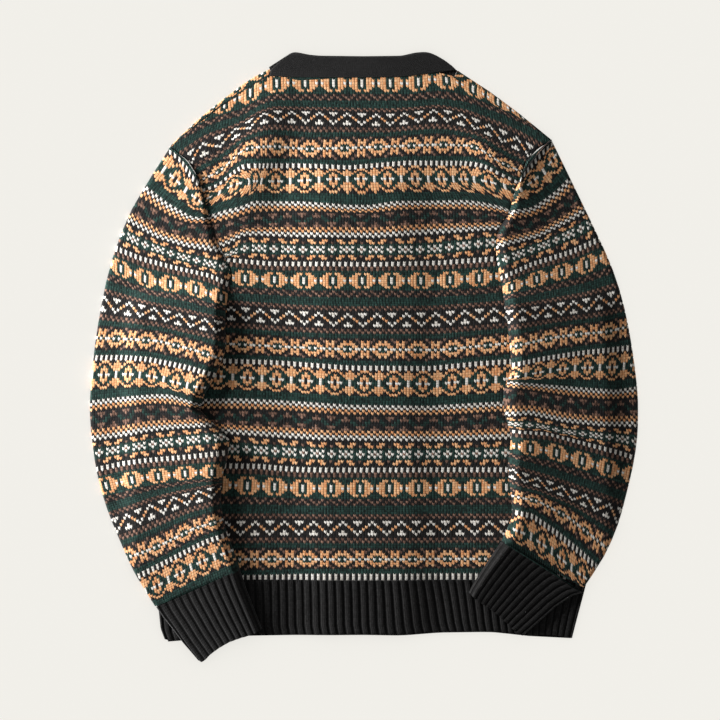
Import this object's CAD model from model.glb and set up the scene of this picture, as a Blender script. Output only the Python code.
"""The looks of a Fair Isle cardigan that lies flat on a table with its back upward.

Every knitted piece is a real grid of stitches: two faces to a stitch, one for each leg of its V,
each in the yarn that the chart gives it. The rows follow the lie of the cloth in the photograph,
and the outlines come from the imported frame. Lengths are metres unless a name says otherwise.
"""

from __future__ import annotations

import logging
import math
from dataclasses import dataclass, field
from enum import Enum
from typing import Callable, Sequence

import bmesh
import bpy
import numpy as np
from mathutils import Matrix, Vector

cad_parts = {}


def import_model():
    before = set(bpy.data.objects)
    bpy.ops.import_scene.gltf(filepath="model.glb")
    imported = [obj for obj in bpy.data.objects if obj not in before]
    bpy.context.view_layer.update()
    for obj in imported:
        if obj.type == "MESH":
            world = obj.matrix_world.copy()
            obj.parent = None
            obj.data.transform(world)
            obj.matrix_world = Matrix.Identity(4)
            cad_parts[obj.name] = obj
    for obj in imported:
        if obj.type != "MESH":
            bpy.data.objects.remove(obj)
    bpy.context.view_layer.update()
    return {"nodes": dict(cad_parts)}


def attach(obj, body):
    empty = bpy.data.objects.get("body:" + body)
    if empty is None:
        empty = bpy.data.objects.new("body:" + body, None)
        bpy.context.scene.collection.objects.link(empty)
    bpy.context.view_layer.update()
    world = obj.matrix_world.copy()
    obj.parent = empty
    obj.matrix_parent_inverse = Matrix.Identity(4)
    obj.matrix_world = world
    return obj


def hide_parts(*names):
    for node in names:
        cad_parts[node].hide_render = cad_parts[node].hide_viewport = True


LOG = logging.getLogger("cardigan")

MM = 0.001
PIXEL = 1.18 * MM  # of garment in one pixel of the photograph
ORIGIN_PIXEL = (364.0, 356.5)  # the pixel over the frame's origin
PICTURE_WIDTH = 720  # pixels

WALL = 2.2 * MM  # thickness of the knitting
GAP = 0.3 * MM  # between pieces that touch
STITCH_WIDTH = 3.45 * MM
ROW_HEIGHT = 2.73 * MM
LEG_SLANT = 0.3  # rows that the two ends of each leg of a V lie above and below its row
LEVEL_MARGIN = 0.6  # half columns from an edge or a fold, within which the legs lie level

Pixel = tuple[float, float]


class Side(Enum):
    """A side of the garment, as the photograph shows it."""

    LEFT = "left"
    RIGHT = "right"


# ---------------------------------------------------------------------------- small mathematics


def smoothstep(value: np.ndarray, low: float, high: float) -> np.ndarray:
    """Rises smoothly from 0 to 1.

    Args:
        value: Where to evaluate it.
        low: The value at and below which it is 0.
        high: The value at and above which it is 1.

    Returns:
        The rise at each value.
    """
    t = np.clip((value - low) / (high - low), 0.0, 1.0)
    return t * t * (3.0 - 2.0 * t)


def photo_to_frame(points: np.ndarray) -> np.ndarray:
    """Turns pixels, x right and y down, into metres on the table, x right and y up."""
    centred = (np.asarray(points, float) - ORIGIN_PIXEL) * PIXEL
    return centred * (1.0, -1.0)


def smooth_between(knots: np.ndarray, values: np.ndarray, at: np.ndarray) -> np.ndarray:
    """Reads a smooth curve through values that are given at knots.

    Args:
        knots: Increasing places, one for each of the values.
        values: What the curve passes through, along the first axis.
        at: Where to read it; places outside the knots are moved to the nearest one.

    Returns:
        The curve's value at each place, along the first axis.
    """
    at = np.clip(at, knots[0], knots[-1])
    slopes = np.gradient(values, knots, axis=0)
    low = np.clip(np.searchsorted(knots, at, side="right") - 1, 0, len(knots) - 2)
    span = knots[low + 1] - knots[low]
    t = ((at - knots[low]) / span).reshape((-1,) + (1,) * (values.ndim - 1))
    span = span.reshape(t.shape)
    start, end = values[low], values[low + 1]
    rise, fall = slopes[low] * span, slopes[low + 1] * span
    squared, cubed = t * t, t * t * t
    return (
        start * (2 * cubed - 3 * squared + 1)
        + rise * (cubed - 2 * squared + t)
        + end * (3 * squared - 2 * cubed)
        + fall * (cubed - squared)
    )


def even_out(line: np.ndarray, passes: int) -> np.ndarray:
    """Rounds the corners of a line of points and keeps its ends.

    Args:
        line: Points along the first axis.
        passes: How many times each point is drawn towards its neighbours.

    Returns:
        The rounded line.
    """
    for _ in range(passes):
        line[1:-1] = 0.25 * line[:-2] + 0.5 * line[1:-1] + 0.25 * line[2:]
    return line


# ---------------------------------------------------------------------------- yarns and chart


class Yarn(Enum):
    """The five yarns, by their letter in the chart and their number on a face."""

    CHARCOAL = ("K", 0)
    GREEN = ("G", 1)
    ORANGE = ("O", 2)
    CREAM = ("W", 3)
    BROWN = ("B", 4)

    def __init__(self, letter: str, number: int) -> None:
        """Keeps the letter and the number.

        Args:
            letter: What stands for the yarn in the chart.
            number: What stands for it in the faces' attribute.
        """
        self.letter = letter
        self.number = number


@dataclass(frozen=True)
class Motif:
    """One band of the chart, written from its top row down.

    Each row gives the yarns from the motif's centre to the middle between two motifs; the rest
    is its mirror image. half is the number of columns between those two, and centre is the
    column that the centre stands on.
    """

    name: str
    half: int
    centre: int
    rows: tuple[str, ...]

    def yarns(self, columns: np.ndarray) -> np.ndarray:
        """The numbers of the yarns in some columns.

        Args:
            columns: Column numbers.

        Returns:
            Yarn numbers, a line for each row of the motif from the lowest up.
        """
        number = {yarn.letter: yarn.number for yarn in Yarn}
        offset = np.abs((columns - self.centre + self.half) % (2 * self.half) - self.half)
        table = np.array([[number[letter] for letter in row] for row in self.rows[::-1]])
        return table[:, offset]


def checker(name: str, letter: str, rows: int = 2) -> Motif:
    """A band in which a yarn and charcoal take turns along and up."""
    turns = (letter + "K", "K" + letter)
    return Motif(name, 1, 0, tuple(turns[row % 2] for row in range(rows)))


def mirrored(*rows: str) -> tuple[str, ...]:
    """A motif's rows from its edge to its middle, and the same ones on to its other edge."""
    return rows + rows[-2::-1]


def plain(name: str, letter: str, rows: int) -> Motif:
    """A band of some rows of one yarn."""
    return Motif(name, 1, 0, (letter * 2,) * rows)


@dataclass(frozen=True)
class Chart:
    """The repeat of the pattern, from its lowest band up."""

    bands: tuple[Motif, ...]

    def yarns(self, rows: np.ndarray, columns: np.ndarray) -> np.ndarray:
        """The yarn of each stitch in a block.

        Args:
            rows: Row numbers from the hem seam up.
            columns: Column numbers.

        Returns:
            Yarn numbers, a line for each row.
        """
        repeat = np.concatenate([band.yarns(columns) for band in self.bands])
        return repeat[np.asarray(rows, int) % len(repeat)]


FAIR_ISLE = Chart(
    bands=(
        Motif("white ticks", 1, 0, ("WK", "WK")),
        plain("green line", "G", 2),
        Motif(
            "paired diamonds",
            6,
            6,
            mirrored(
                "KKKBKKK",
                "KOKKBOK",
                "OOOKKOO",
                "GGOOKOK",
                "GWGWWGW",
            ),
        ),
        plain("green line", "G", 2),
        checker("brown checks", "B"),
        plain("charcoal line", "K", 1),
        Motif(
            "zigzag",
            5,
            4,
            ("WKKKWW", "KWKKKW", "KKOKKK", "KKKOKK", "WKKKWK", "WWKKKW"),
        ),
        plain("charcoal line", "K", 1),
        checker("brown checks", "B"),
        plain("green line", "G", 4),
        Motif("brown chevrons", 5, 0, ("BKKBKK", "KBKKBK", "KKBKKB")),
        Motif(
            "lenses",
            5,
            0,
            mirrored(
                "GGGGGG",
                "GOOGGG",
                "GGOOGG",
                "WGOOOG",
                "WGOOWK",
            ),
        ),
        Motif("brown ticks", 1, 1, ("BK", "BK")),
        Motif("white ticks", 1, 0, ("WK", "WK")),
        plain("charcoal line", "K", 1),
        Motif(
            "crosses",
            5,
            4,
            mirrored(
                "KKOOKK",
                "KOOKKB",
                "GGGGGG",
                "WGWGGW",
                "BWGGWB",
            ),
        ),
        plain("charcoal line", "K", 1),
        checker("white checks", "W"),
        checker("orange checks", "O"),
        Motif(
            "green wave",
            5,
            4,
            ("KKKKKK", "BKKKBB", "BBGKKB", "KKGGKK", "KKKGGK", "BKKKBB", "BBKKKB"),
        ),
        checker("orange checks", "O"),
        checker("white checks", "W"),
        plain("green line", "G", 4),
        Motif(
            "rings and crosses",
            5,
            0,
            mirrored(
                "OOKKKO",
                "KKOKOO",
                "OGGOOO",
                "OOGGOO",
                "KOGGGW",
                "KWWGGW",
            ),
        ),
    )
)


# ---------------------------------------------------------------------------- the lie of the rows


@dataclass(frozen=True)
class Trace:
    """One row of knitting as it lies in the photograph.

    row is its number from the hem seam, centre the pixel column of the chart's column 0 on it,
    pitch the pixels from stitch to stitch, and points some of its pixels from left to right.
    Where the cloth is bunched, marks gives the pixel column of more of the chart's columns.
    """

    row: float
    centre: float
    pitch: float
    points: tuple[Pixel, ...]
    marks: tuple[tuple[float, float], ...] = ()


@dataclass
class KnitField:
    """Where each stitch of a piece lies, between the rows that were traced."""

    traces: Sequence[Trace]
    first_column: int
    last_column: int
    reach: float = 120.0  # pixels that a traced row goes on beyond its ends
    rounding: int = 10  # passes that round a traced row

    def __post_init__(self) -> None:
        """Lays out the traced rows, a point for each half column."""
        self.halves = np.arange(2 * self.first_column, 2 * self.last_column + 1) / 2.0
        self.rows = np.array([trace.row for trace in self.traces])
        self.traced = np.stack([self._lay(trace) for trace in self.traces])

    def _lay(self, trace: Trace) -> np.ndarray:
        """Spaces the columns out along one traced row.

        Args:
            trace: The row.

        Returns:
            A place in metres for each half column.
        """
        points = np.array(trace.points, float)
        start = points[0] - (points[1] - points[0]) / math.dist(*points[:2]) * self.reach
        end = points[-1] + (points[-1] - points[-2]) / math.dist(*points[-2:]) * self.reach
        points = np.vstack([start, points, end])
        steps = np.hypot(*np.diff(points, axis=0).T)
        along = np.concatenate([[0.0], np.cumsum(steps)])
        marks = np.array(sorted(((0.0, trace.centre),) + trace.marks))
        known = np.interp(marks[:, 1], points[:, 0], along)
        before = np.minimum(self.halves - marks[0, 0], 0.0)
        after = np.maximum(self.halves - marks[-1, 0], 0.0)
        at = np.interp(self.halves, marks[:, 0], known) + (before + after) * trace.pitch
        line = np.column_stack([np.interp(at, along, points[:, axis]) for axis in (0, 1)])
        return photo_to_frame(even_out(line, self.rounding))

    def lines(self, rows: np.ndarray) -> np.ndarray:
        """A line of places for each of some rows, which may be fractions, by half column."""
        return smooth_between(self.rows, self.traced, np.asarray(rows, float))


Segments = tuple[np.ndarray, np.ndarray]


def node_segments(*nodes: bpy.types.Object) -> Segments:
    """The edges of some nodes of the frame, seen from above.

    Args:
        nodes: The nodes.

    Returns:
        Where each edge starts and where it ends.
    """
    starts, ends = [], []
    for node in nodes:
        points = np.array([vertex.co[:2] for vertex in node.data.vertices])
        edges = np.array([edge.vertices[:] for edge in node.data.edges])
        starts.append(points[edges[:, 0]])
        ends.append(points[edges[:, 1]])
    return np.vstack(starts), np.vstack(ends)


@dataclass
class Outline:
    """The left and right edges of a shape, by their height."""

    segments: Segments
    step: float = 1.0 * MM

    def __post_init__(self) -> None:
        """Cuts the shape at each height and keeps the outermost crossings."""
        a, b = self.segments
        low, high = min(a[:, 1].min(), b[:, 1].min()), max(a[:, 1].max(), b[:, 1].max())
        self.heights = np.arange(low + self.step / 4, high, self.step)
        left, right = [], []
        for height in self.heights:
            crossing = (a[:, 1] - height) * (b[:, 1] - height) < 0
            share = (height - a[crossing, 1]) / (b[crossing, 1] - a[crossing, 1])
            x = a[crossing, 0] + share * (b[crossing, 0] - a[crossing, 0])
            left.append(x.min())
            right.append(x.max())
        self.left_edge, self.right_edge = np.array(left), np.array(right)

    def depth(self, points: np.ndarray) -> np.ndarray:
        """How far points are inside the two edges, measured across.

        Args:
            points: Places, x and y in the last axis.

        Returns:
            Metres to the nearer edge, below 0 outside.
        """
        x, y = points[..., 0], points[..., 1]
        left = np.interp(y, self.heights, self.left_edge)
        right = np.interp(y, self.heights, self.right_edge)
        return np.minimum(x - left, right - x)

    def polygon(self, low: float, top: float, step: int) -> np.ndarray:
        """A stretch of the outline as a ring of points.

        Args:
            low: The height it starts from.
            top: The height it goes up to.
            step: How many of the kept heights to go from one point to the next.

        Returns:
            Points down the left edge and up the right one.
        """
        kept = (self.heights >= low) & (self.heights <= top)
        down = np.column_stack([self.left_edge[kept], self.heights[kept]])[::-step]
        up = np.column_stack([self.right_edge[kept], self.heights[kept]])[::step]
        return np.vstack([down, up])


@dataclass(frozen=True)
class Run:
    """The part of a row that is inside an outline, as places in its list of half columns."""

    start: float
    end: float


def find_run(line: np.ndarray, outline: Outline) -> Run:
    """Finds the longest stretch of a row that is inside an outline.

    Args:
        line: The row's places.
        outline: The outline.

    Returns:
        Where the stretch starts and ends, as fractions of the list.
    """
    depth = outline.depth(line)
    inside = np.concatenate([[False], depth > 0, [False]])
    changes = np.flatnonzero(inside[1:] != inside[:-1])
    if len(changes) < 2:
        nearest = float(np.argmax(depth))
        return Run(nearest, nearest)
    starts, ends = changes[::2], changes[1::2] - 1
    longest = int(np.argmax(ends - starts))
    start, end = int(starts[longest]), int(ends[longest])
    before, after = 0.0, 0.0
    if start > 0:
        before = depth[start] / (depth[start] - depth[start - 1])
    if end < len(line) - 1:
        after = depth[end] / (depth[end] - depth[end + 1])
    return Run(start - before, end + after)


def read_line(line: np.ndarray, at: np.ndarray) -> np.ndarray:
    """Places on a row, x and y, at fractions of its list of half columns."""
    whole = np.arange(len(line))
    return np.column_stack([np.interp(at, whole, line[:, axis]) for axis in (0, 1)])


# ---------------------------------------------------------------------------- heights of the cloth


CREASE_END = 0.12  # share of a half wave that a crease's fading leaves off at each end
PUFF_RISE = (-0.02, 0.09)  # shares of the width between which a puff rises from the inner fold
PUFF_PEAK = 1.15  # of its stated height, before it falls off
PUFF_FALL = 1.4  # power of the share that is left to the outer fold


@dataclass(frozen=True)
class Crease:
    """A soft ridge, or a trough where height is below 0, along a line on the photograph."""

    start: Pixel
    end: Pixel
    width: float  # pixels from the middle to where it has gone
    height: float  # millimetres


def relief(creases: Sequence[Crease], points: np.ndarray) -> np.ndarray:
    """The height that creases add to a cloth.

    Args:
        creases: The ridges and troughs.
        points: Places on the cloth, x and y in the last axis.

    Returns:
        Metres up at each place.
    """
    total = np.zeros(points.shape[:-1])
    for crease in creases:
        start, end = photo_to_frame(np.array([crease.start, crease.end]))
        along = end - start
        share = np.clip(((points - start) @ along) / (along @ along), 0.0, 1.0)
        away = np.linalg.norm(points - start - share[..., None] * along, axis=-1)
        fade = np.sin(np.pi * (CREASE_END + (1 - 2 * CREASE_END) * share))
        width = crease.width * PIXEL
        total += crease.height * MM * fade * (1.0 - smoothstep(away, 0.0, width))
    return total


def puff_share(across: np.ndarray) -> np.ndarray:
    """Share of its height that a puff has, by the share from inner fold to outer one."""
    return smoothstep(across, *PUFF_RISE) * PUFF_PEAK * (1 - across) ** PUFF_FALL


@dataclass(frozen=True)
class Layers:
    """How high the layers of the garment lie over the table.

    The fronts and the back rise over the buttoned bands. flat and fall are how far to each side
    of the bands' middle they stay up and are down again, and top and fade the heights on the
    picture between which they come down above the V.
    """

    button: float = 2.2 * MM
    rib_raise: float = 0.8 * MM  # how far ribbing stands over the plain wall
    band_flat: float = 21 * MM
    band_fall: float = 58 * MM
    band_top: float = 183 * MM
    band_fade: float = 253 * MM
    back_flat: float = 36 * MM
    back_fall: float = 92 * MM
    back_top: float = 192 * MM
    back_fade: float = 268 * MM
    vee_height: float = 143 * MM  # where the bands meet below the V
    hem_height: float = -327 * MM
    vee_centre: float = -2 * MM  # the bands' middle at the V, to the right
    hem_centre: float = 3 * MM

    def _over_bands(self, points: np.ndarray, wide: bool) -> np.ndarray:
        """1 over the buttoned bands, falling to 0 beside and above them.

        Args:
            points: Places on the table.
            wide: Whether to fall as widely as the back does.

        Returns:
            The share at each place.
        """
        x, y = points[..., 0], points[..., 1]
        share = np.clip((y - self.vee_height) / (self.hem_height - self.vee_height), 0, 1)
        centre = self.vee_centre + (self.hem_centre - self.vee_centre) * share
        flat, fall = (self.back_flat, self.back_fall) if wide else (self.band_flat, self.band_fall)
        top, fade = (self.back_top, self.back_fade) if wide else (self.band_top, self.band_fade)
        across = 1 - smoothstep(np.abs(x - centre), flat, fall)
        return across * (1 - smoothstep(y, top, fade))

    def left_front(self, points: np.ndarray) -> np.ndarray:
        """Underside of the left front and its band, which lie on the buttons."""
        return (self.button + GAP) * self._over_bands(points, wide=False)

    def right_front(self, points: np.ndarray) -> np.ndarray:
        """Underside of the right front and its band, which lie on the left one's."""
        return (self.button + GAP + WALL + GAP) * self._over_bands(points, wide=False)

    def back(self, points: np.ndarray) -> np.ndarray:
        """Underside of the back, its hem and the neck band, which lie on the fronts."""
        lift = self.button + GAP + WALL + GAP
        return WALL + GAP + lift * self._over_bands(points, wide=True)

    def body_top(self) -> float:
        """Height of the underside of a sleeve or a cuff where it crosses the body."""
        return 2 * (WALL + GAP) + self.rib_raise


LAYERS = Layers()


@dataclass
class BodyEdge:
    """The outline of the body below the sleeves, which a sleeve steps down from."""

    ring: np.ndarray
    sleeve_step: tuple[float, float] = (16 * MM, 45 * MM)  # outside, from high to down
    cuff_step: tuple[float, float] = (40 * MM, 80 * MM)

    def outside(self, points: np.ndarray) -> np.ndarray:
        """How far places are outside the body.

        Args:
            points: Places on the table, in the last axis.

        Returns:
            Metres, or 0 inside.
        """
        flat = points.reshape(-1, 2)
        nearest = np.full(len(flat), np.inf)
        inside = np.zeros(len(flat), bool)
        for a, b in zip(self.ring, np.roll(self.ring, -1, axis=0)):
            along = b - a
            share = np.clip((flat - a) @ along / (along @ along), 0, 1)
            away = np.linalg.norm(flat - a - share[:, None] * along, axis=1)
            nearest = np.minimum(nearest, away)
            spans = (a[1] > flat[:, 1]) != (b[1] > flat[:, 1])
            rise = along[1] if along[1] else 1.0
            crossing = a[0] + (flat[:, 1] - a[1]) / rise * along[0]
            inside ^= spans & (flat[:, 0] < crossing)
        return np.where(inside, 0.0, nearest).reshape(points.shape[:-1])

    def sleeve_floor(self, points: np.ndarray) -> np.ndarray:
        """Height of the underside of a sleeve."""
        return LAYERS.body_top() * (1 - smoothstep(self.outside(points), *self.sleeve_step))

    def cuff_floor(self, points: np.ndarray) -> np.ndarray:
        """Height of the underside of a cuff, which stays up on the hem."""
        fall = 1 - smoothstep(self.outside(points), *self.cuff_step)
        return LAYERS.body_top() * fall + np.maximum(relief(BACK_CREASES, points), 0.0)


# ---------------------------------------------------------------------------- mesh making


def add_object(bm: bmesh.types.BMesh, name: str) -> bpy.types.Object:
    """Turns a finished bmesh into an object of the scene.

    Args:
        bm: The bmesh in metres, which is freed.
        name: What the object and its mesh are called.

    Returns:
        The object, at the origin.
    """
    mesh = bpy.data.meshes.new(name)
    bm.to_mesh(mesh)
    bm.free()
    made = bpy.data.objects.new(name, mesh)
    bpy.context.scene.collection.objects.link(made)
    return made


def pair_up(columns: np.ndarray, rows: np.ndarray) -> np.ndarray:
    """Pairs each point's column with its row, in stitches, for the material to read."""
    return np.stack(np.broadcast_arrays(columns, rows), axis=-1)


@dataclass
class ClothMesh:
    """A cloth's mesh while it is made, of grids of points, in millimetres until it is finished."""

    name: str
    merge: float = 0.02  # millimetres below which two points are one
    sharp: float = 50.0  # degrees above which an edge isn't shaded smooth
    bm: bmesh.types.BMesh = field(init=False)

    def __post_init__(self) -> None:
        """Starts the mesh with its stitches' layers."""
        self.bm = bmesh.new()
        self.uv = self.bm.loops.layers.uv.new("stitches")
        self.yarn = self.bm.faces.layers.float.new("yarn")

    def add_grid(self, points: np.ndarray, stitches: np.ndarray, yarns: np.ndarray) -> None:
        """Adds a grid and gives each face its stitch.

        Args:
            points: Places in metres, rows by columns by x, y and z.
            stitches: Column and row of each point, in stitches.
            yarns: Yarn number of each face, rows by columns.
        """
        rows, columns = points.shape[:2]
        verts = bmesh.ops.create_grid(
            self.bm, x_segments=columns - 1, y_segments=rows - 1, size=1.0
        )["verts"]
        self.bm.verts.index_update()
        first = verts[0].index
        table = stitches.reshape(-1, 2)
        faces = set()
        for vertex, place in zip(verts, points.reshape(-1, 3) / MM):
            vertex.co = place
            faces.update(vertex.link_faces)
        for face in faces:
            corner = min(loop.vert.index for loop in face.loops) - first
            face[self.yarn] = float(yarns[corner // columns, corner % columns])
            face.smooth = True
            for loop in face.loops:
                loop[self.uv].uv = table[loop.vert.index - first]

    def weld(self) -> None:
        """Merges the points that the outline has brought together."""
        bmesh.ops.remove_doubles(self.bm, verts=self.bm.verts, dist=self.merge)
        loose = [vertex for vertex in self.bm.verts if not vertex.link_faces]
        bmesh.ops.delete(self.bm, geom=loose, context="VERTS")

    def close(self) -> None:
        """Fills what is still open."""
        edges = [edge for edge in self.bm.edges if edge.is_boundary]
        bmesh.ops.holes_fill(self.bm, edges=edges, sides=0)

    def finish(self) -> bpy.types.Object:
        """Turns the faces outward and makes the object.

        Returns:
            The object, at the origin, with its place in its mesh.
        """
        bmesh.ops.recalc_face_normals(self.bm, faces=self.bm.faces)
        if self.bm.calc_volume(signed=True) < 0:
            bmesh.ops.reverse_faces(self.bm, faces=self.bm.faces)
        bmesh.ops.scale(self.bm, vec=(MM, MM, MM), verts=self.bm.verts)
        made = add_object(self.bm, self.name)
        made.data.set_sharp_from_angle(angle=math.radians(self.sharp))
        return made


# ---------------------------------------------------------------------------- materials


def linear(colour: str) -> tuple[float, float, float, float]:
    """Turns an sRGB colour into the linear one that shaders take.

    Args:
        colour: Six hex digits.

    Returns:
        Red, green, blue and alpha.
    """
    parts = [int(colour[i : i + 2], 16) / 255 for i in (0, 2, 4)]
    low = [part / 12.92 if part <= 0.04045 else ((part + 0.055) / 1.055) ** 2.4 for part in parts]
    return (low[0], low[1], low[2], 1.0)


def add_node(
    tree: bpy.types.NodeTree,
    kind: str,
    inputs: dict[str | int, object] | Sequence[object] = (),
    output: str | int = 0,
    **settings: object,
) -> bpy.types.NodeSocket:
    """Adds a shader node, sets it up and links it.

    Args:
        tree: The node tree.
        kind: Blender's name for the node's type, without the ShaderNode before it.
        inputs: Its inputs' values, or the sockets that feed them, in order or by their keys.
        output: Key of the output that is wanted.
        **settings: Its attributes.

    Returns:
        The output's socket.
    """
    node = tree.nodes.new("ShaderNode" + kind)
    for name, value in settings.items():
        setattr(node, name, value)
    for key, value in inputs.items() if isinstance(inputs, dict) else enumerate(inputs):
        if isinstance(value, bpy.types.NodeSocket):
            tree.links.new(value, node.inputs[key])
        else:
            node.inputs[key].default_value = value
    return node.outputs[output]


def new_material(name: str) -> tuple[bpy.types.Material, bpy.types.NodeTree, bpy.types.Node]:
    """Makes a material with a Principled shader.

    Args:
        name: The material's name.

    Returns:
        The material, its node tree and its shader.
    """
    material = bpy.data.materials.new(name)
    material.use_nodes = True
    tree = material.node_tree
    return material, tree, tree.nodes["Principled BSDF"]


@dataclass(frozen=True)
class KnittedWool:
    """Worsted lambswool in stocking stitch.

    Its yarn is hairy and takes no shine, so it is rough with a little sheen, the legs of each V
    are rounded and dark where they meet, and one stitch is never quite the colour of the next.
    Each yarn's colour lies between a dark one and a light one. An edge is how far from the middle
    of a stitch, a leg, a row or a rib its shade starts, as a share of its width.
    """

    name: str = "worsted lambswool, stranded stocking stitch"
    dark: tuple[str, ...] = ("121110", "0D1513", "D68B56", "DCD5C8", "422E26")
    light: tuple[str, ...] = ("2A2929", "2C4A43", "FFCC9A", "FFFBF4", "A07C6A")
    roughness: float = 0.92
    sheen: float = 0.10
    sheen_roughness: float = 0.5
    specular: float = 0.15
    seam_shade: float = 0.58  # how much light is left where two stitches meet
    stitch_edge: float = 0.24
    leg_edge: float = 0.30
    leg_clear: float = 0.5  # light that is left where two legs meet, and half the seam's
    row_edge: float = 0.28
    row_clear: float = 0.4  # the same, where two rows meet
    fibre: float = 0.9 * MM  # size of the flecks in the yarn
    fibre_detail: float = 2.0
    fibre_roughness: float = 0.7
    fleck_share: float = 1.1  # how strongly the flecks move the colour, against the stitches' 1
    contrast: float = 0.8  # how much of the way from dark to light is used
    leg_height: float = 0.9 * MM  # how far a leg stands up
    fleck_height: float = 0.25  # how far a fleck stands up, against the leg's 1
    relief_strength: float = 0.7
    on_solid: bool = False  # whether the stitches follow the object's own axes
    rib: float = 0.0  # stitches in a rib, where the grooves between ribs take the light away
    rib_edge: float = 0.22
    rib_shade: float = 0.36  # how much light is left in a groove

    def material(self) -> bpy.types.Material:
        """Makes the material.

        Returns:
            The material.
        """
        material, tree, shader = new_material(self.name)
        body = add_node(tree, "TexCoord", output="Object")
        if self.on_solid:
            scale = (1 / STITCH_WIDTH, 1 / ROW_HEIGHT, 1.0)
            place = add_node(tree, "Mapping", {"Vector": body, "Scale": scale})
        else:
            place = add_node(tree, "UVMap", uv_map="stitches")
        across, up = add_node(tree, "SeparateXYZ", (place,)).node.outputs[:2]
        shade = self._shade(tree, across, up)
        legs = add_node(tree, "Math", (across, 2.0), operation="MULTIPLY")
        leg = add_node(tree, "Math", (legs,), operation="FLOOR")
        row = add_node(tree, "Math", (up,), operation="FLOOR")
        cell = add_node(tree, "CombineXYZ", (leg, row))
        change = add_node(tree, "TexWhiteNoise", {"Vector": cell}, noise_dimensions="2D")
        grain = {"Scale": 1.0 / self.fibre, "Detail": self.fibre_detail}
        grain |= {"Vector": body, "Roughness": self.fibre_roughness}
        fleck = add_node(tree, "TexNoise", grain, noise_dimensions="3D")
        colour = self._colour(tree, fleck, change)
        tree.links.new(
            add_node(
                tree, "Mix", {0: 1.0, 6: colour, 7: shade}, 2, data_type="RGBA", blend_type="MULTIPLY"
            ),
            shader.inputs["Base Color"],
        )
        height = add_node(tree, "Math", (fleck, self.fleck_height, shade), operation="MULTIPLY_ADD")
        relief_inputs = {"Height": height, "Distance": self.leg_height}
        relief_inputs["Strength"] = self.relief_strength
        tree.links.new(add_node(tree, "Bump", relief_inputs), shader.inputs["Normal"])
        shader.inputs["Roughness"].default_value = self.roughness
        shader.inputs["Sheen Weight"].default_value = self.sheen
        shader.inputs["Sheen Roughness"].default_value = self.sheen_roughness
        shader.inputs["Specular IOR Level"].default_value = self.specular
        return material

    def _colour(
        self, tree: bpy.types.NodeTree, fleck: bpy.types.NodeSocket, change: bpy.types.NodeSocket
    ) -> bpy.types.NodeSocket:
        """The yarn's own colour: flecked, and a little different from leg to leg.

        Args:
            tree: The node tree.
            fleck: The flecks in the yarn.
            change: A number for each leg of a stitch.

        Returns:
            The colour.
        """
        change = add_node(tree, "Math", (change, self.fleck_share / 2), operation="SUBTRACT")
        blend = add_node(
            tree, "Math", (fleck, self.fleck_share, change), operation="MULTIPLY_ADD"
        )
        spare = (1 - self.contrast) / 2
        blend = add_node(tree, "Math", (blend, self.contrast, spare), operation="MULTIPLY_ADD")
        number = add_node(tree, "Attribute", output="Fac", attribute_name="yarn")
        share = add_node(
            tree, "Math", (number, 1 / len(Yarn), 0.5 / len(Yarn)), operation="MULTIPLY_ADD"
        )
        dark, light = self._ramp(tree, share, self.dark), self._ramp(tree, share, self.light)
        return add_node(tree, "Mix", {0: blend, 6: dark, 7: light}, 2, data_type="RGBA")

    def _shade(
        self, tree: bpy.types.NodeTree, across: bpy.types.NodeSocket, up: bpy.types.NodeSocket
    ) -> bpy.types.NodeSocket:
        """How much light reaches each spot of a stitch: less where it goes under the next.

        Args:
            tree: The node tree.
            across: Stitches across.
            up: Rows up.

        Returns:
            The share of the light.
        """
        legs = add_node(tree, "Math", (across, 2.0), operation="MULTIPLY")
        dips = [
            (across, self.stitch_edge, self.seam_shade),
            (legs, self.leg_edge, self.leg_clear + self.seam_shade / 2),
            (up, self.row_edge, self.row_clear + self.seam_shade / 2),
        ]
        if self.rib:
            turns = (across, 1 / self.rib, 0.5 - 0.5 / self.rib)
            ribs = add_node(tree, "Math", turns, operation="MULTIPLY_ADD")
            dips.append((ribs, self.rib_edge, self.rib_shade))
        shade = None
        for value, edge, least in dips:
            part = add_node(tree, "Math", (value,), operation="FRACT")
            middle = add_node(tree, "Math", (part, 0.5), operation="SUBTRACT")
            away = add_node(tree, "Math", (middle,), operation="ABSOLUTE")
            level = add_node(
                tree, "MapRange", (away, edge, 0.5, 1.0, least), interpolation_type="SMOOTHSTEP"
            )
            if shade is not None:
                level = add_node(tree, "Math", (shade, level), operation="MULTIPLY")
            shade = level
        return shade

    def _ramp(
        self, tree: bpy.types.NodeTree, share: bpy.types.NodeSocket, colours: Sequence[str]
    ) -> bpy.types.NodeSocket:
        """Picks the yarn's colour by the number on each face.

        Args:
            tree: The node tree.
            share: The yarn's number as a share of all the yarns.
            colours: A colour for each yarn.

        Returns:
            The colour.
        """
        picked = add_node(tree, "ValToRGB", (share,))
        ramp = picked.node.color_ramp
        ramp.interpolation = "CONSTANT"
        for index, colour in enumerate(colours):
            if index < 2:
                stop = ramp.elements[index]
                stop.position = index / len(Yarn)
            else:
                stop = ramp.elements.new(index / len(Yarn))
            stop.color = linear(colour)
        return picked


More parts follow.
